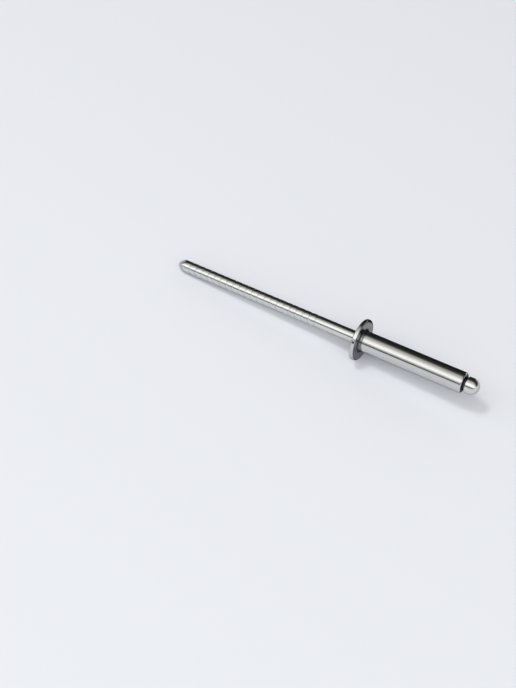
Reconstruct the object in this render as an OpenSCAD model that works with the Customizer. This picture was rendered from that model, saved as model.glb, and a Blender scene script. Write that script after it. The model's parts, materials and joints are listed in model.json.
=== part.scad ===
/* [Rivet body] */

// diameter of the straight shank, the nominal rivet size
body_d = 3.2;            // [2.6:0.1:5]
// shank length from the flange underside to the blind end
body_len = 16.75;        // [6:0.25:40]
// hole that the mandrel passes through
bore_d = 1.98;           // [1.9:0.01:2.08]
// radius on the outer edge of the blind end
end_r = 0.34;            // [0.05:0.01:0.5]

/* [Flange] */

// outside diameter of the domed flange
flange_d = 6.5;          // [5:0.1:14]
// height of the dome above the underside
flange_h = 1.1;          // [0.8:0.05:3]
// height of the rim
rim_h = 0.6;             // [0.4:0.02:1]
// radius on both edges of the rim
rim_r = 0.18;            // [0.02:0.01:0.28]
// diameter of the flatter land round the hole
land_d = 3.4;            // [2.5:0.1:6]
// diameter of the hole where it opens through the dome
mouth_d = 2.4;           // [2.0:0.05:3.3]
// depth of the opened mouth
mouth_depth = 0.5;       // [0.1:0.05:1.5]
// fillet where the shank meets the flange underside
neck_r = 0.22;           // [0.05:0.01:0.6]

/* [Mandrel] */

// diameter of the plain mandrel
mandrel_d = 1.88;        // [1.2:0.01:1.96]
// distance from the flange underside to the mandrel tip
reach = 32.75;           // [28:0.25:60]
// number of gripping grooves
groove_count = 21;       // [0:1:26]
// spacing of the gripping grooves
groove_pitch = 1.125;    // [0.6:0.005:1.4]
// distance from the tip to the middle of the first groove
groove_start = 2.3;      // [1.5:0.05:6]
// width of one groove
groove_w = 0.24;         // [0.1:0.01:0.8]
// depth of one groove
groove_depth = 0.05;     // [0.02:0.01:0.3]
// length of the pinched point along its flats
point_len = 1.3;         // [0.4:0.05:3]
// width left across the flats at the very tip
point_w = 0.5;           // [0.1:0.05:1.5]
// turn of the pinched point about the mandrel
point_roll = 84;         // [0:1:90]
// diameter left at the crimped break notch
notch_d = 1.42;          // [0.8:0.02:1.8]
// distance of the break notch from the blind end, inside the body
notch_in = 1.7;          // [0.8:0.1:6]

/* [Mandrel head] */

// diameter of the mandrel head
head_d = 2.5;            // [2.3:0.05:4]
// gap between the blind end and the shoulder of the head
head_gap = 0.42;         // [0.2:0.02:1.5]
// diameter of the neck where it starts to flare out to the shoulder
neck_d = 2.1;            // [2.0:0.01:2.4]
// height of that flare
flare_h = 0.12;          // [0.02:0.01:0.3]
// length of the head from its shoulder to its crown
head_len = 1.85;         // [1.2:0.05:5]
// radius that rounds the head over to its crown
head_r = 1.15;           // [0.2:0.05:1.2]

/* [Pose] */

// turn of the rivet about its own axis as it lies
roll = 85;               // [-180:5:180]

/* [Hidden] */

$fn = 96;
rb = body_d / 2;
rf = flange_d / 2;
rm = mandrel_d / 2;
rh = head_d / 2;
rc = bore_d / 2;
// cutters run past the surfaces that they open by this much
past = 1;
// centre of the radius on the rim's upper edge
rim_x = rf - rim_r;
rim_z = rim_h - rim_r;
// the dome is part of a sphere that leaves that edge smoothly and ends at the land
k0 = (land_d * land_d / 4 - rim_x * rim_x + flange_h * flange_h - rim_z * rim_z + rim_r * rim_r) / (2 * rim_r);
k1 = (flange_h - rim_z) / rim_r;
qa = k1 * k1 - 1;
qb = k1 * (k0 - rim_r) - rim_z;
qc = (k0 - rim_r) * (k0 - rim_r) - rim_x * rim_x - rim_z * rim_z;
dome_z = (-qb + sqrt(qb * qb - qa * qc)) / qa;
dome_r = k0 + k1 * dome_z;
dome_end = [0, dome_z] + [rim_x, -rim_z - dome_z] * dome_r / (dome_r - rim_r);
shoulder_z = body_len + head_gap;
crown_z = shoulder_z + head_len;
flare_z = shoulder_z - flare_h;
// the cone under the head meets the edge of the bore exactly
cone_start = body_len - (rc - rm) * (head_gap - flare_h) / (neck_d / 2 - rc);
notch_z = body_len - notch_in;
notch_half = (rm - notch_d / 2) * 1.2;
// a groove is an arc of this radius
groove_r = (groove_w * groove_w / 4 + groove_depth * groove_depth) / (2 * groove_depth);

// The rivet lies on its flange rim and on its mandrel tip, so its axis leans.
point_turn = point_roll + roll;
roll_off = abs(point_turn - 90 * round(point_turn / 90));
tip_back = max(0, (rm * cos(roll_off) - point_w / 2) * point_len / (rm - point_w / 2));
lean_x = reach - tip_back - rim_z;
lean_z = rf - rim_r - rm;
lean = atan2(lean_z, lean_x) + asin(rim_r / norm([lean_x, lean_z]));
lift = rm * cos(lean) + (reach - tip_back) * sin(lean);
centre_x = cos(lean) * (crown_z - reach) / 2;

// In the part's own frame z runs from the flange underside towards the blind end.
// lay() turns that axis to +X and sets the rivet down on z = 0.
module lay() {
  translate([-centre_x, 0, lift]) rotate([0, 90 - lean, 0]) rotate([0, 0, roll]) children();
}

module shank_outline() {
  translate([0, -rim_r]) square([rb, body_len - end_r + rim_r]);
  translate([0, -rim_r]) square([rb - end_r, body_len + rim_r]);
  translate([rb - end_r, body_len - end_r]) circle(end_r);
}

module rivet_body() {
  color([0.78, 0.78, 0.77]) lay() difference() {
    union() {
      rotate_extrude() shank_outline();
      // fillet under the flange
      rotate_extrude() difference() {
        translate([0, -rim_r]) square([rb + neck_r, neck_r + rim_r]);
        translate([rb + neck_r, neck_r]) circle(neck_r);
      }
      // rim with both of its edges rounded
      for (z = [-rim_r, -rim_z]) rotate_extrude() translate([rim_x, z]) circle(rim_r);
      translate([0, 0, -rim_z]) cylinder(r = rf, h = rim_z - rim_r);
      // dome from the rim to the land round the hole
      rotate_extrude() intersection() {
        translate([0, dome_z]) circle(dome_r);
        polygon([[0, 0], [rim_x, 0], [rim_x, -rim_z], dome_end, [dome_end[0], -flange_h], [0, -flange_h]]);
      }
    }
    // bore and its opened mouth
    translate([0, 0, -flange_h - past]) cylinder(r = rc, h = body_len + flange_h + 2 * past);
    rotate_extrude() polygon([
      [0, -flange_h - past], [mouth_d / 2, -flange_h - past], [mouth_d / 2, -flange_h],
      [rc, -flange_h + mouth_depth], [0, -flange_h + mouth_depth]
    ]);
  }
}

module mandrel_outline() {
  difference() {
    union() {
      polygon([
        [0, -reach], [rm, -reach],
        [rm, notch_z - notch_half], [notch_d / 2, notch_z], [rm, notch_z + notch_half],
        [rm, cone_start], [neck_d / 2, flare_z], [rh, shoulder_z], [rh, crown_z - head_r],
        [rh - head_r, crown_z - head_r], [rh - head_r, crown_z], [0, crown_z]
      ]);
      translate([rh - head_r, crown_z - head_r]) intersection() {
        circle(head_r);
        square(head_r);
      }
    }
    // ring grooves that the setting tool grips
    for (i = [0 : groove_count - 1])
      translate([rm + groove_r - groove_depth, -reach + groove_start + i * groove_pitch])
        circle(groove_r);
  }
}

module mandrel() {
  color([0.70, 0.70, 0.70]) lay() difference() {
    rotate_extrude() mandrel_outline();
    // four flats pinch the wire off to a blunt point
    for (i = [0 : 3])
      rotate([0, 0, point_roll + 90 * i])
        translate([point_w / 2, 0, -reach])
          rotate([0, atan2(rm - point_w / 2, point_len), 0])
            translate([0, -rm - past, -rm - past]) cube([2 * rm, 2 * (rm + past), point_len + 2 * (rm + past)]);
  }
}

rivet_body();
mandrel();
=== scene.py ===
"""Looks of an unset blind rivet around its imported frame: two turned steel pieces lying on a pale table."""

import json
import math

import bmesh
import bpy
from mathutils import Matrix, Vector


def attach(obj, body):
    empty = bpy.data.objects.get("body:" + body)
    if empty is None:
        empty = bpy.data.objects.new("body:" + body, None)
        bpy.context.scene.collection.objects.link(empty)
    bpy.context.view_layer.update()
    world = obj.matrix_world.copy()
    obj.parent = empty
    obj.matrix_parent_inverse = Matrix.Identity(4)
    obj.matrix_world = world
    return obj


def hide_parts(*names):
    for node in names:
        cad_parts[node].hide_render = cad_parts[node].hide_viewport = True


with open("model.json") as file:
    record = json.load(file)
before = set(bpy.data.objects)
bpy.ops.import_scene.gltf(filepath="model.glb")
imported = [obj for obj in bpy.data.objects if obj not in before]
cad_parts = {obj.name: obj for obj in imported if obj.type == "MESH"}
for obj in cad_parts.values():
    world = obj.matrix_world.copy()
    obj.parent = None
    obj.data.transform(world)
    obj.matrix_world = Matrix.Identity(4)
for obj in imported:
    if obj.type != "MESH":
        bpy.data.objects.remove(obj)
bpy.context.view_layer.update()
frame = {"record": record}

MM = 0.001

# Sizes of the two pieces in mm, as in the part's source. Heights run along the rivet from the flange's
# underside, up to the blind end and down to the mandrel's point.
SHANK_R = 1.6
SHANK_LENGTH = 16.75
BORE_R = 0.99
BLIND_END_ROUND = 0.34
NECK_FILLET = 0.22
FLANGE_R = 3.25
FLANGE_HEIGHT = 1.1
RIM_HEIGHT = 0.6
RIM_ROUND = 0.18
LAND_R = 1.7
MOUTH_R = 1.2
MOUTH_DEPTH = 0.5
WIRE_R = 0.94
REACH = 32.75
GROOVE_COUNT = 21
GROOVE_PITCH = 1.125
GROOVE_START = 2.3
GROOVE_WIDTH = 0.24
GROOVE_DEPTH = 0.05
POINT_LENGTH = 1.3
POINT_HALF_WIDTH = 0.25
POINT_TURN = 79
POINT_FLATS = 4
NOTCH_R = 0.71
NOTCH_INSIDE = 1.7
NOTCH_SLOPE = 1.2
HEAD_R = 1.25
HEAD_GAP = 0.42
HEAD_NECK_R = 1.05
HEAD_FLARE = 0.12
HEAD_LENGTH = 1.85
HEAD_ROUND = 1.15

# Edges too small for the source, in mm, and the angles where two of them start and end.
BROKEN_EDGE = 0.05
NIB_R = 0.12
NIB_SIDE_ANGLE = -20
SHOULDER_ANGLE = -59

# How finely the pieces are turned: steps round an arc, and the spacing along a straight run in mm.
TURN_STEPS = 128
ARC_STEPS = 10
EDGE_STEPS = 4
NIB_STEPS = 6
DOME_STEPS = 14
CROWN_STEPS = 24
GROOVE_STEPS = 8
LAND_STEPS = 3
RUN_SPACING = 0.5
HIDDEN_SPACING = 2
HEAD_SPACING = 0.25
POINT_SPACING = 0.05
# A run gets a point this close to each of its ends, unless it is too short for them.
EDGE_SUPPORT = 0.03
SHORTEST_SUPPORTED = 4 * EDGE_SUPPORT
WELD = 0.001
# A higher power makes the pinched point's edges crisper.
PINCH_CRISPNESS = 18

# Where the rivet lies. Its own axis leans up from the table towards the blind end.
mounts = {mount["name"]: mount for mount in frame["record"]["mounts"]}
rivet_axis = Vector(mounts["shank"]["axis"]).normalized()
across = Vector((0, 1, 0))
towards_table = across.cross(rivet_axis)
underside = Vector(mounts["flange_seat"]["pos_m"])
underside.y = 0
on_table = Matrix.Translation(underside) @ Matrix((towards_table, across, rivet_axis)).transposed().to_4x4()
on_table = on_table @ Matrix.Scale(MM, 4)
lean = math.asin(rivet_axis.z)


def arc(centre, radius, start, end, steps=ARC_STEPS):
    """Points of a circular arc in an outline, between two angles in degrees."""
    angles = [math.radians(start + (end - start) * i / steps) for i in range(steps + 1)]
    return [(centre[0] + radius * math.cos(a), centre[1] + radius * math.sin(a)) for a in angles]


def run(start, end, spacing=RUN_SPACING):
    """Points of a straight run, with one close to each end so that a nearby arc doesn't shade it."""
    length = math.dist(start, end)
    steps = max(1, round(length / spacing))
    shares = [i / steps for i in range(steps + 1)]
    if length > SHORTEST_SUPPORTED:
        shares += [EDGE_SUPPORT / length, 1 - EDGE_SUPPORT / length]
    step = (end[0] - start[0], end[1] - start[1])
    return [(start[0] + step[0] * share, start[1] + step[1] * share) for share in sorted(shares)]


def turned(piece, outline, closed=False, trim=None):
    """Adds an outline of radii and heights in mm, spun round the axis. trim may cut the radius back."""
    rings = []
    for radius, height in outline:
        if radius < WELD:
            rings.append([piece.verts.new((0, 0, height))])
            continue
        ring = []
        for i in range(TURN_STEPS):
            turn = 2 * math.pi * i / TURN_STEPS
            r = trim(radius, turn, height) if trim else radius
            ring.append(piece.verts.new((r * math.cos(turn), r * math.sin(turn), height)))
        rings.append(ring)
    above = rings[1:] + rings[:1] if closed else rings[1:]
    for lower, upper in zip(rings, above):
        for i in range(TURN_STEPS):
            j = (i + 1) % TURN_STEPS
            corners = [lower[i % len(lower)], lower[j % len(lower)]]
            corners += [upper[j % len(upper)], upper[i % len(upper)]]
            piece.faces.new(dict.fromkeys(corners))


def flange_outline():
    """The low dome from the mouth of the bore to the rim, the rim, and the flat underside."""
    rim_x = FLANGE_R - RIM_ROUND
    rim_z = RIM_HEIGHT - RIM_ROUND
    # The dome is part of a sphere that leaves the rim's upper edge smoothly and ends at the land.
    k0 = (LAND_R**2 - rim_x**2 + FLANGE_HEIGHT**2 - rim_z**2 + RIM_ROUND**2) / (2 * RIM_ROUND)
    k1 = (FLANGE_HEIGHT - rim_z) / RIM_ROUND
    a = k1 * k1 - 1
    b = k1 * (k0 - RIM_ROUND) - rim_z
    c = (k0 - RIM_ROUND) ** 2 - rim_x**2 - rim_z**2
    dome_z = (math.sqrt(b * b - a * c) - b) / a
    dome_r = k0 + k1 * dome_z
    land_angle = math.degrees(math.atan2(-FLANGE_HEIGHT - dome_z, LAND_R))
    rim_angle = math.degrees(math.atan2(-rim_z - dome_z, rim_x))
    mouth_edge = (MOUTH_R + BROKEN_EDGE, -FLANGE_HEIGHT + BROKEN_EDGE)
    land_start = (MOUTH_R + 2 * BROKEN_EDGE, -FLANGE_HEIGHT)
    land_end = (LAND_R - 2 * EDGE_SUPPORT, -FLANGE_HEIGHT)
    outline = arc(mouth_edge, BROKEN_EDGE, 180, 270, EDGE_STEPS)
    outline += run(land_start, land_end)
    outline += arc((0, dome_z), dome_r, land_angle, rim_angle, DOME_STEPS)
    outline += arc((rim_x, -rim_z), RIM_ROUND, rim_angle, 0)[1:]
    outline += arc((rim_x, -RIM_ROUND), RIM_ROUND, 0, 90)
    outline += run((rim_x - EDGE_SUPPORT, 0), (SHANK_R + NECK_FILLET + EDGE_SUPPORT, 0))
    return outline


def shank_outline():
    """The fillet under the flange, the straight shank, its rounded blind end, and the bore to its mouth."""
    shank_top = SHANK_LENGTH - BLIND_END_ROUND
    bore_edge = (BORE_R + BROKEN_EDGE, SHANK_LENGTH - BROKEN_EDGE)
    bore_end = (BORE_R, SHANK_LENGTH - 2 * BROKEN_EDGE)
    bore_start = (BORE_R, MOUTH_DEPTH - FLANGE_HEIGHT)
    outline = arc((SHANK_R + NECK_FILLET, NECK_FILLET), NECK_FILLET, 270, 180)
    outline += run((SHANK_R, NECK_FILLET + EDGE_SUPPORT), (SHANK_R, shank_top - EDGE_SUPPORT))
    outline += arc((SHANK_R - BLIND_END_ROUND, shank_top), BLIND_END_ROUND, 0, 90)
    outline += arc(bore_edge, BROKEN_EDGE, 90, 180, EDGE_STEPS)
    outline += run(bore_end, bore_start, HIDDEN_SPACING)
    return outline


def pinched(radius, turn, height):
    """The radius left where four flats pinch the wire off, with each edge between them a little rounded."""
    slope = (WIRE_R - POINT_HALF_WIDTH) / POINT_LENGTH
    flat = POINT_HALF_WIDTH + slope * (height + REACH)
    total = radius**-PINCH_CRISPNESS
    for i in range(POINT_FLATS):
        facing = math.cos(turn - math.radians(POINT_TURN + 360 * i / POINT_FLATS))
        if facing > 0:
            total += (facing / flat) ** PINCH_CRISPNESS
    return total ** (-1 / PINCH_CRISPNESS)


def point_outline(top):
    """The pinched point, from a small rounded nib up to the first groove."""
    nib = -REACH + NIB_R
    full_width = nib + 2 * NIB_R
    outline = [(0, -REACH)] + run((NIB_R / 2, -REACH), (NIB_R, -REACH), POINT_SPACING)
    outline += arc((NIB_R, nib), NIB_R, -90, NIB_SIDE_ANGLE, NIB_STEPS)[1:]
    outline += run((2 * NIB_R + EDGE_SUPPORT, nib), (WIRE_R, full_width), POINT_SPACING)
    outline += run((WIRE_R, full_width + EDGE_SUPPORT), (WIRE_R, top), POINT_SPACING)
    return outline


def head_outline(bottom):
    """The plain wire above the grooves, the notch that it breaks at, and the upset head."""
    notch_z = SHANK_LENGTH - NOTCH_INSIDE
    notch_half = (WIRE_R - NOTCH_R) * NOTCH_SLOPE
    shoulder = SHANK_LENGTH + HEAD_GAP
    crown = shoulder + HEAD_LENGTH
    flare = shoulder - HEAD_FLARE
    # The cone under the head meets the edge of the bore exactly.
    cone_start = SHANK_LENGTH - (BORE_R - WIRE_R) * (HEAD_GAP - HEAD_FLARE) / (HEAD_NECK_R - BORE_R)
    shoulder_edge = (HEAD_R - BROKEN_EDGE, shoulder + BROKEN_EDGE)
    outline = run((WIRE_R, bottom), (WIRE_R, notch_z - notch_half), HIDDEN_SPACING)
    outline += [(NOTCH_R, notch_z)]
    outline += run((WIRE_R, notch_z + notch_half), (WIRE_R, cone_start))
    outline += run((WIRE_R, cone_start), (HEAD_NECK_R, flare))[1:]
    outline += arc(shoulder_edge, BROKEN_EDGE, SHOULDER_ANGLE, 0, EDGE_STEPS)
    outline += run((HEAD_R, shoulder + 2 * BROKEN_EDGE), (HEAD_R, crown - HEAD_ROUND), HEAD_SPACING)
    outline += arc((HEAD_R - HEAD_ROUND, crown - HEAD_ROUND), HEAD_ROUND, 0, 90, CROWN_STEPS)[1:]
    outline += [((HEAD_R - HEAD_ROUND) / 2, crown), (0, crown)]
    return outline


def node(tree, kind, feeds=None, **settings):
    """Adds a node. Each feed is a value, a socket, a node for its first output, or a list of these."""
    made = tree.nodes.new(kind)
    for name, value in settings.items():
        setattr(made, name, value)
    for where, feed in (feeds or {}).items():
        for source in feed if isinstance(feed, list) else [feed]:
            if isinstance(source, bpy.types.Node):
                source = source.outputs[0]
            if isinstance(source, bpy.types.NodeSocket):
                tree.links.new(source, made.inputs[where])
            else:
                made.inputs[where].default_value = source
    return made


# The colour sockets of a Mix node, by number, because its other types use the same names.
MIX_FROM = 6
MIX_TO = 7
MIX_RESULT = 2


def colour(code):
    """A six-figure sRGB hex colour as linear values."""
    channels = [int(code[i:i + 2], 16) / 255 for i in (0, 2, 4)]
    linear = [c / 12.92 if c <= 0.04045 else ((c + 0.055) / 1.055) ** 2.4 for c in channels]
    return (*linear, 1.0)


def grooved_wire_tree():
    """A tree for wire with ring grooves: one groove and one land, repeated along the wire."""
    tree = bpy.data.node_groups.new("ring_grooved_wire", "GeometryNodeTree")
    for label in ("Wire radius", "Groove width", "Groove depth", "Groove pitch"):
        tree.interface.new_socket(label, in_out="INPUT", socket_type="NodeSocketFloat")
    for label in ("Groove count", "Turn steps"):
        tree.interface.new_socket(label, in_out="INPUT", socket_type="NodeSocketInt")
    tree.interface.new_socket("Start", in_out="INPUT", socket_type="NodeSocketVector")
    tree.interface.new_socket("Finish", in_out="INPUT", socket_type="NodeSocketMaterial")
    tree.interface.new_socket("Wire", in_out="OUTPUT", socket_type="NodeSocketGeometry")
    sizes = node(tree, "NodeGroupInput").outputs

    groove = node(tree, "GeometryNodeMeshCylinder", {
        "Vertices": sizes["Turn steps"],
        "Side Segments": GROOVE_STEPS,
        "Radius": sizes["Wire radius"],
        "Depth": sizes["Groove width"],
    }, fill_type="NONE")
    # The groove's section is a shallow round hollow, deepest at the middle of its width.
    place = node(tree, "GeometryNodeInputPosition")
    height = node(tree, "ShaderNodeSeparateXYZ", {"Vector": place}).outputs["Z"]
    half_width = node(tree, "ShaderNodeMath", {0: sizes["Groove width"], 1: 2.0}, operation="DIVIDE")
    share = node(tree, "ShaderNodeMath", {0: height, 1: half_width}, operation="DIVIDE")
    square = node(tree, "ShaderNodeMath", {0: share, 1: share}, operation="MULTIPLY")
    fill = node(tree, "ShaderNodeMath", {0: 1.0, 1: square}, operation="SUBTRACT")
    fill = node(tree, "ShaderNodeMath", {0: fill, 1: 0.0}, operation="MAXIMUM")
    hollow = node(tree, "ShaderNodeMath", {0: fill, 1: sizes["Groove depth"]}, operation="MULTIPLY")
    lost = node(tree, "ShaderNodeMath", {0: hollow, 1: sizes["Wire radius"]}, operation="DIVIDE")
    left = node(tree, "ShaderNodeMath", {0: 1.0, 1: lost}, operation="SUBTRACT")
    inward = node(tree, "ShaderNodeCombineXYZ", {"X": left, "Y": left, "Z": 1.0})
    sunk = node(tree, "ShaderNodeVectorMath", {0: place, 1: inward}, operation="MULTIPLY")
    groove = node(tree, "GeometryNodeSetPosition", {"Geometry": groove, "Position": sunk})
    # The land is the plain wire between one groove and the next.
    land_width = {0: sizes["Groove pitch"], 1: sizes["Groove width"]}
    land = node(tree, "GeometryNodeMeshCylinder", {
        "Vertices": sizes["Turn steps"],
        "Side Segments": LAND_STEPS,
        "Radius": sizes["Wire radius"],
        "Depth": node(tree, "ShaderNodeMath", land_width, operation="SUBTRACT"),
    }, fill_type="NONE")
    half_pitch = node(tree, "ShaderNodeMath", {0: sizes["Groove pitch"], 1: 2.0}, operation="DIVIDE")
    land = node(tree, "GeometryNodeTransform", {
        "Geometry": land,
        "Translation": node(tree, "ShaderNodeCombineXYZ", {"Z": half_pitch}),
    })
    places = node(tree, "GeometryNodeMeshLine", {
        "Count": sizes["Groove count"],
        "Start Location": sizes["Start"],
        "Offset": node(tree, "ShaderNodeCombineXYZ", {"Z": sizes["Groove pitch"]}),
    })
    one = node(tree, "GeometryNodeJoinGeometry", {"Geometry": [groove, land]})
    repeated = node(tree, "GeometryNodeInstanceOnPoints", {"Points": places, "Instance": one})
    real = node(tree, "GeometryNodeRealizeInstances", {"Geometry": repeated})
    finished = node(tree, "GeometryNodeSetMaterial", {"Geometry": real, "Material": sizes["Finish"]})
    node(tree, "NodeGroupOutput", {"Wire": finished})
    return tree


def grooved_wire(finish):
    """The ring-grooved length of the mandrel as a plain mesh, in mm along the rivet's axis."""
    tree = grooved_wire_tree()
    wire = bpy.data.objects.new("grooved_wire", bpy.data.meshes.new("grooved_wire"))
    bpy.context.scene.collection.objects.link(wire)
    grooves = wire.modifiers.new("ring_grooves", "NODES")
    grooves.node_group = tree
    values = {
        "Wire radius": WIRE_R,
        "Groove width": GROOVE_WIDTH,
        "Groove depth": GROOVE_DEPTH,
        "Groove pitch": GROOVE_PITCH,
        "Groove count": GROOVE_COUNT,
        "Turn steps": TURN_STEPS,
        "Start": (0.0, 0.0, GROOVE_START - REACH),
        "Finish": finish,
    }
    for item in tree.interface.items_tree:
        if item.in_out == "INPUT":
            grooves[item.identifier] = values[item.name]
    shown = wire.evaluated_get(bpy.context.evaluated_depsgraph_get())
    mesh = bpy.data.meshes.new_from_object(shown)
    bpy.data.objects.remove(wire)
    return mesh


# Drawing leaves lines a few hundredths of a millimetre apart. They are drawn coarser so that they show.
# Each finish has its two colours, the roughness of its smooth and rough lines, and their spacing in mm.
TUBE_FINISH = {"bright": "D6D6D5", "dull": "CACAC9", "smooth": 0.09, "rough": 0.17, "spacing": 0.12}
WIRE_FINISH = {"bright": "DEDEDD", "dull": "D2D2D1", "smooth": 0.10, "rough": 0.19, "spacing": 0.09}
# The length over which a line changes and its height, in mm, and how its noise is made up and cut off.
STREAK_LENGTH = 20
STREAK_HEIGHT = 0.005
STREAK_STRENGTH = 0.5
STREAK_DETAIL = 3.0
STREAK_ROUGHNESS = 0.6
STREAK_LOW = 0.3
STREAK_HIGH = 0.7
# Faint clouds of this size in mm shift the colour.
CLOUD = 1.5
CLOUD_DETAIL = 4.0
# Steel reflects less just before its outline, which draws a fine dark edge round each piece.
GRAZING_TINT = "A0A0A0"

# Zones given a darker, duller colour, most of them painted shade. Each lies between two heights and two
# radii in mm, and has a soft edge.
RECESS_EDGE = 0.04
BODY_PAINTED_SHADE = [
    # the flange's underside with its fillet, greyed: painted shade under the flange
    {
        "heights": (-0.03, 0.2),
        "radii": (SHANK_R + 0.04, FLANGE_R - RIM_ROUND),
        "tone": "BABABC",
        "roughness": 0.15,
    },
    # the corner round the shank, dark: painted shade in the crease under the flange
    {
        "heights": (-0.03, 0.2),
        "radii": (SHANK_R + 0.02, SHANK_R + NECK_FILLET + 0.1),
        "tone": "646465",
        "roughness": 0.25,
    },
    # the ring just inside the rim, dark: painted shade along the rim's inner edge
    {
        "heights": (-0.03, 0.01),
        "radii": (FLANGE_R - 0.27, FLANGE_R - RIM_ROUND),
        "tone": "6E6E6F",
        "roughness": 0.2,
    },
    # the blind end's face, dark: painted shade in the gap below the mandrel's head
    {
        "heights": (SHANK_LENGTH - 0.1, SHANK_LENGTH),
        "radii": (0, 1.4),
        "tone": "6A6A6B",
        "roughness": 0.3,
    },
]
MANDREL_PAINTED_SHADE_AND_GROOVE_TONE = [
    # the cone and shoulder under the head, dark: painted shade in the gap over the blind end
    {
        "heights": (SHANK_LENGTH - 0.5, SHANK_LENGTH + HEAD_GAP),
        "radii": (0, HEAD_R - 0.06),
        "tone": "6A6A6B",
        "roughness": 0.3,
    },
    # the bottoms of the ring grooves, a little darker and duller
    {
        "heights": (2 - REACH, -1),
        "radii": (0, WIRE_R - 1.2 * GROOVE_DEPTH),
        "tone": "C2C2C3",
        "roughness": 0.2,
    },
]


def within(tree, value, low, high):
    """1 where a value lies between two limits, falling to 0 over the soft edge outside them."""
    below = low - RECESS_EDGE
    above = high + RECESS_EDGE
    rise = node(tree, "ShaderNodeMapRange", {"Value": value, "From Min": below, "From Max": low})
    fall = node(tree, "ShaderNodeMapRange", {"Value": value, "From Min": above, "From Max": high})
    return node(tree, "ShaderNodeMath", {0: rise, 1: fall}, operation="MULTIPLY")


def drawn_steel(name, bright, dull, smooth, rough, spacing, darker_zones):
    """Stainless steel drawn through a die: near-mirror bright, with fine streaks along its length."""
    metal = bpy.data.materials.new(name)
    metal.use_nodes = True
    tree = metal.node_tree
    shader = tree.nodes["Principled BSDF"]
    shader.inputs["Metallic"].default_value = 1.0
    shader.inputs["Specular Tint"].default_value = colour(GRAZING_TINT)
    # The mapping gives mm along and across the rivet's own axis, from the flange's underside.
    own = node(tree, "ShaderNodeMapping", {
        "Vector": node(tree, "ShaderNodeTexCoord").outputs["Object"],
        "Location": underside,
        "Rotation": (0.0, -lean, 0.0),
        "Scale": (MM, MM, MM),
    }, vector_type="TEXTURE")
    stretched = node(tree, "ShaderNodeMapping", {
        "Vector": own,
        "Scale": (1 / STREAK_LENGTH, 1 / spacing, 1 / spacing),
    })
    lines = node(tree, "ShaderNodeTexNoise", {
        "Vector": stretched,
        "Scale": 1.0,
        "Detail": STREAK_DETAIL,
        "Roughness": STREAK_ROUGHNESS,
    }).outputs["Fac"]
    clouds = node(tree, "ShaderNodeTexNoise", {
        "Vector": own,
        "Scale": 1 / CLOUD,
        "Detail": CLOUD_DETAIL,
    }).outputs["Fac"]
    steel = node(tree, "ShaderNodeMix", {
        "Factor": clouds,
        MIX_FROM: colour(dull),
        MIX_TO: colour(bright),
    }, data_type="RGBA").outputs[MIX_RESULT]
    worn = node(tree, "ShaderNodeMapRange", {
        "Value": lines,
        "From Min": STREAK_LOW,
        "From Max": STREAK_HIGH,
        "To Min": smooth,
        "To Max": rough,
    })
    split = node(tree, "ShaderNodeSeparateXYZ", {"Vector": own}).outputs
    sideways = node(tree, "ShaderNodeCombineXYZ", {"Y": split["Y"], "Z": split["Z"]})
    radius = node(tree, "ShaderNodeVectorMath", {0: sideways}, operation="LENGTH").outputs["Value"]
    # Each zone mixes in a darker tone and its roughness; most zones paint shade into the steel's colour.
    for darker_zone in darker_zones:
        along = within(tree, split["X"], *darker_zone["heights"])
        out = within(tree, radius, *darker_zone["radii"])
        zone = node(tree, "ShaderNodeMath", {0: along, 1: out}, operation="MULTIPLY")
        steel = node(tree, "ShaderNodeMix", {
            "Factor": zone,
            MIX_FROM: steel,
            MIX_TO: colour(darker_zone["tone"]),
        }, data_type="RGBA").outputs[MIX_RESULT]
        gap = node(tree, "ShaderNodeMath", {0: darker_zone["roughness"], 1: worn}, operation="SUBTRACT")
        worn = node(tree, "ShaderNodeMath", {0: gap, 1: zone, 2: worn}, operation="MULTIPLY_ADD")
    relief = node(tree, "ShaderNodeBump", {
        "Strength": STREAK_STRENGTH,
        "Distance": STREAK_HEIGHT * MM,
        "Height": lines,
    })
    tree.links.new(steel, shader.inputs["Base Color"])
    tree.links.new(worn.outputs[0], shader.inputs["Roughness"])
    tree.links.new(relief.outputs["Normal"], shader.inputs["Normal"])
    return metal


def set_down(piece, name, finish):
    """Welds a piece, turns it to lie on the table, and gives it its finish."""
    bmesh.ops.remove_doubles(piece, verts=piece.verts, dist=WELD)
    bmesh.ops.recalc_face_normals(piece, faces=piece.faces)
    piece.transform(on_table)
    mesh = bpy.data.meshes.new(name)
    piece.to_mesh(mesh)
    piece.free()
    mesh.materials.clear()
    mesh.materials.append(finish)
    mesh.shade_smooth()
    made = bpy.data.objects.new(name, mesh)
    bpy.context.scene.collection.objects.link(made)
    return made


body_steel = drawn_steel("drawn_stainless_tube", **TUBE_FINISH, darker_zones=BODY_PAINTED_SHADE)
mandrel_steel = drawn_steel("drawn_stainless_wire", **WIRE_FINISH, darker_zones=MANDREL_PAINTED_SHADE_AND_GROOVE_TONE)

body = bmesh.new()
turned(body, flange_outline() + shank_outline(), closed=True)
body = set_down(body, "flanged_tube", body_steel)

grooves_from = GROOVE_START - REACH - GROOVE_WIDTH / 2
grooves_to = grooves_from + GROOVE_COUNT * GROOVE_PITCH
mandrel = bmesh.new()
mandrel.from_mesh(grooved_wire(mandrel_steel))
turned(mandrel, point_outline(grooves_from), trim=pinched)
turned(mandrel, head_outline(grooves_to))
mandrel = set_down(mandrel, "grooved_mandrel", mandrel_steel)

for piece, cad_node, slot in ((body, "rivet_body", "body_steel"), (mandrel, "mandrel", "mandrel_steel")):
    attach(piece, "root")
    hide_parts(cad_node)

# The studio, in metres: a pale table in an even pale room, one long graded soft box, and dark panels.
# Only the table and the room are in the picture.
TABLE_SIZE = 6.0
TABLE_COLOUR = "E6E9EF"
TABLE_ROUGHNESS = 0.9
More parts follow.
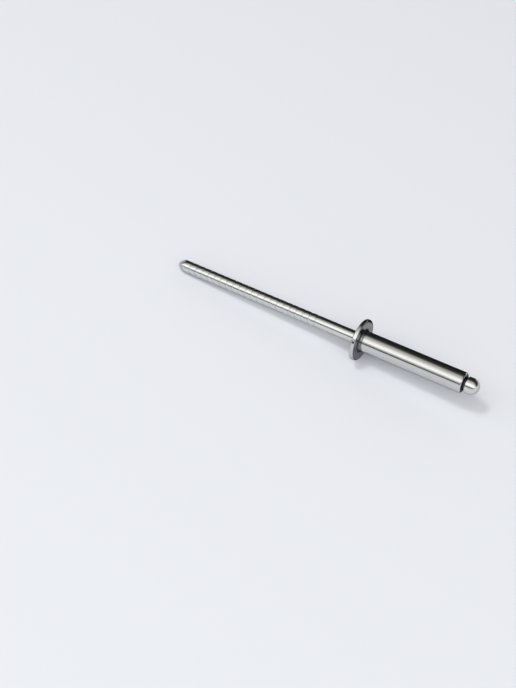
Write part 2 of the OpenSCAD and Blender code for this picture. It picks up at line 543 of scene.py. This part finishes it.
# Seen from low down, the table fades into the room beyond it, so that no horizon shows behind the rivet.
FADE_FROM = 0.16
FADE_TO = 0.6
# The room darkens between these two heights, as shares of straight up.
ROOM_LOW = "E8EBF0"
ROOM_HIGH = "C4C0BA"
ROOM_LOW_HEIGHT = 0.25
ROOM_HIGH_HEIGHT = 0.7


def rectangle(left, right, near, far, height=0.0):
    """The corners of a level rectangle, in order round it."""
    return [(left, near, height), (right, near, height), (right, far, height), (left, far, height)]


def studio_sheet(name, corners, finish, shown=False, lights=False):
    """A flat sheet of the studio, which the metal reflects. It may also be shown, or light the table."""
    mesh = bpy.data.meshes.new(name)
    mesh.from_pydata(corners, [], [(0, 1, 2, 3)])
    mesh.materials.append(finish)
    sheet = bpy.data.objects.new(name, mesh)
    sheet.visible_camera = shown
    sheet.visible_diffuse = lights
    sheet.visible_shadow = shown
    bpy.context.scene.collection.objects.link(sheet)
    return sheet


def pale_board():
    """Matt painted board, which shows no gloss."""
    board = bpy.data.materials.new("pale_matt_board")
    board.use_nodes = True
    tree = board.node_tree
    shader = tree.nodes["Principled BSDF"]
    shader.inputs["Base Color"].default_value = colour(TABLE_COLOUR)
    shader.inputs["Roughness"].default_value = TABLE_ROUGHNESS
    shader.inputs["Specular IOR Level"].default_value = 0.0
    place = node(tree, "ShaderNodeTexCoord").outputs["Object"]
    distance = node(tree, "ShaderNodeVectorMath", {0: place}, operation="LENGTH").outputs["Value"]
    faded = node(tree, "ShaderNodeMapRange", {
        "Value": distance,
        "From Min": FADE_FROM,
        "From Max": FADE_TO,
    })
    rays = node(tree, "ShaderNodeLightPath").outputs
    seen = rays["Is Camera Ray"]
    for other in ("Is Glossy Ray", "Is Transmission Ray"):
        seen = node(tree, "ShaderNodeMath", {0: seen, 1: rays[other]}, operation="ADD")
    share = node(tree, "ShaderNodeMath", {0: faded, 1: seen}, operation="MULTIPLY")
    room_light = node(tree, "ShaderNodeEmission", {"Color": colour(ROOM_LOW)})
    mixed = node(tree, "ShaderNodeMixShader", {"Fac": share, 1: shader, 2: room_light})
    tree.links.new(mixed.outputs["Shader"], tree.nodes["Material Output"].inputs["Surface"])
    return board


half = TABLE_SIZE / 2
studio_sheet("table_top", rectangle(-half, half, -half, half), pale_board(), shown=True, lights=True)

# The soft box and the panels stand round the rivet's axis, with their lengths along it.
# The angle round the axis is 0 level with the camera's side and 90 overhead.
STAND_OFF = 0.4
PANEL_SHIFT = 0.2
PANEL_LENGTH = 2.4
camera_side = Vector((0, -1, 0))
overhead = camera_side.cross(rivet_axis)
middle = Vector((0, 0, underside.z))

# Each panel spans two such angles. The soft box is white low on the camera's side and fades, warmer, to
# the dark wall beyond it. Each of its levels is an angle, a strength and a tone.
SOFT_BOX = (44, 128)
LEVELS = [
    (44, 1.45, "FFFFFF"),
    (64, 1.45, "FFFFFF"),
    (79, 1.14, "FFFEFB"),
    (90, 0.76, "FFFCF7"),
    (101, 0.64, "FFFAF3"),
    (112, 0.41, "FFF9F0"),
    (120, 0.17, "FFF8EE"),
    (128, 0.03, "FFF6EA"),
]
DARK_STRIP = (18, 30)
DARK_WALL = (128, 182)
DARK_WALL_SHIFT = 0.44
DARK_WALL_LENGTH = 1.92
CLOTH_COLOUR = "101010"


def panel_width(low, high):
    """The width of a panel that spans two angles round the axis."""
    return 2 * STAND_OFF * math.tan(math.radians((high - low) / 2))


def stood(name, span, finish, shift=PANEL_SHIFT, length=PANEL_LENGTH, lights=False):
    """A panel that faces the rivet between two angles round its axis."""
    angle = math.radians(sum(span) / 2)
    away = camera_side * math.cos(angle) + overhead * math.sin(angle)
    side = away.cross(rivet_axis).normalized()
    facing = Matrix((side.cross(away), side, away)).transposed().to_4x4()
    x = length / 2
    y = panel_width(*span) / 2
    panel = studio_sheet(name, rectangle(-x, x, -y, y), finish, lights=lights)
    panel.matrix_world = Matrix.Translation(middle + away * STAND_OFF + rivet_axis * shift) @ facing


def graded_diffuser(low, high, levels):
    """A glowing cloth whose brightness changes across its width."""
    cloth = bpy.data.materials.new("graded_diffuser")
    cloth.use_nodes = True
    tree = cloth.node_tree
    tree.nodes.remove(tree.nodes["Principled BSDF"])
    width = panel_width(low, high)
    place = node(tree, "ShaderNodeTexCoord").outputs["Object"]
    crosswise = node(tree, "ShaderNodeSeparateXYZ", {"Vector": place}).outputs["Y"]
    share = node(tree, "ShaderNodeMapRange", {
        "Value": crosswise,
        "From Min": -width / 2,
        "From Max": width / 2,
    })
    ramp = node(tree, "ShaderNodeValToRGB", {"Fac": share})
    stops = ramp.color_ramp.elements
    ready = len(stops)
    for i, (angle, strength, tone) in enumerate(levels):
        where = 0.5 + STAND_OFF * math.tan(math.radians(angle - (low + high) / 2)) / width
        stop = stops[i] if i < ready else stops.new(where)
        stop.position = where
        stop.color = [channel * strength for channel in colour(tone)[:3]] + [1.0]
    glow = node(tree, "ShaderNodeEmission", {"Color": ramp.outputs["Color"]})
    tree.links.new(glow.outputs["Emission"], tree.nodes["Material Output"].inputs["Surface"])
    return cloth


def black_flag_cloth():
    """Black cotton cloth, as photographers hang it to keep light off."""
    cloth = bpy.data.materials.new("black_flag_cloth")
    cloth.use_nodes = True
    cloth.node_tree.nodes["Principled BSDF"].inputs["Base Color"].default_value = colour(CLOTH_COLOUR)
    return cloth


black_cloth = black_flag_cloth()
stood("soft_box", SOFT_BOX, graded_diffuser(*SOFT_BOX, LEVELS), lights=True)
stood("dark_strip", DARK_STRIP, black_cloth)
stood("dark_wall", DARK_WALL, black_cloth, DARK_WALL_SHIFT, DARK_WALL_LENGTH)

# A dark cloth lies on the table beyond the rivet, where only the rivet's far side reflects it.
CLOTH_LEFT = -1.2
CLOTH_RIGHT = 0.024
CLOTH_NEAR = 0.006
CLOTH_FAR = 0.4
CLOTH_HEIGHT = 0.0001
cloth_corners = rectangle(CLOTH_LEFT, CLOTH_RIGHT, CLOTH_NEAR, CLOTH_FAR, CLOTH_HEIGHT)
studio_sheet("far_cloth", cloth_corners, black_cloth)

# A smaller lamp, high and a little to the left, lifts the table and casts the faint shadows.
LAMP_TOWARDS = Vector((-0.35, -0.1, 0.93))
LAMP_DISTANCE = 2.0
LAMP_SIZE = 0.45
LAMP_WATTS = 8.5
lamp = bpy.data.lights.new("overhead_lamp", "AREA")
lamp.shape = "DISK"
lamp.size = LAMP_SIZE
lamp.energy = LAMP_WATTS
lamp_place = bpy.data.objects.new("overhead_lamp", lamp)
lamp_place.location = LAMP_TOWARDS.normalized() * LAMP_DISTANCE
lamp_place.rotation_euler = (-LAMP_TOWARDS).to_track_quat("-Z", "Y").to_euler()
lamp_place.visible_glossy = False
bpy.context.scene.collection.objects.link(lamp_place)

world = bpy.data.worlds.new("pale_room")
world.use_nodes = True
bpy.context.scene.world = world
sky = world.node_tree
towards = node(sky, "ShaderNodeTexCoord").outputs["Generated"]
height = node(sky, "ShaderNodeSeparateXYZ", {"Vector": towards}).outputs["Z"]
rise = node(sky, "ShaderNodeMapRange", {
    "Value": height,
    "From Min": ROOM_LOW_HEIGHT,
    "From Max": ROOM_HIGH_HEIGHT,
})
room = node(sky, "ShaderNodeMix", {
    "Factor": rise,
    MIX_FROM: colour(ROOM_LOW),
    MIX_TO: colour(ROOM_HIGH),
}, data_type="RGBA").outputs[MIX_RESULT]
sky.links.new(room, sky.nodes["Background"].inputs["Color"])

# The camera's place and aim put the rivet's outline where the photograph has it.
CAMERA_LENS = 80.509
CAMERA_SENSOR = 36
CAMERA_NEAREST = 0.01
CAMERA_PLACE = Vector((0.066210, -0.126526, 0.184573))
CAMERA_AIM = Vector((-0.31714, 0.51681, -0.79519))
camera = bpy.data.cameras.new("camera")
camera.lens = CAMERA_LENS
camera.sensor_width = CAMERA_SENSOR
camera.clip_start = CAMERA_NEAREST
camera_place = bpy.data.objects.new("camera", camera)
camera_place.location = CAMERA_PLACE
camera_place.rotation_euler = CAMERA_AIM.to_track_quat("-Z", "Y").to_euler()
bpy.context.scene.collection.objects.link(camera_place)
bpy.context.scene.camera = camera_place
bpy.context.scene.view_settings.view_transform = "Standard"
